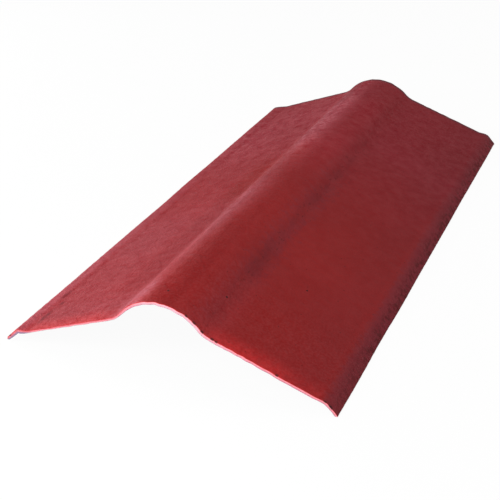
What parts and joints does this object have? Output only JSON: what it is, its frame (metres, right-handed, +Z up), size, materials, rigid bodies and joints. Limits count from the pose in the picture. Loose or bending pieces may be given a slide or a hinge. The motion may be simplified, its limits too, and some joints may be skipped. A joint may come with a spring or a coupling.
{
  "type": "roof ridge cap",
  "caption": "Pressed bitumen-fibre ridge cap: a round hump along the ridge, a sloping wing on each side and down-turned lips, laid over the joint of two roof slopes.",
  "frame": {"origin": "midway between the two lips and between the two ends, on the surface that the lips stand on", "axes": "+X across the ridge, +Y along the ridge, +Z up"},
  "size_m": [0.485, 1, 0.1094],
  "materials": {
    "sheet": "matte red coating over bitumen-saturated fibre"
  },
  "bodies": {
    "root": {"ridge_cap": "sheet"}
  },
  "joints": []
}
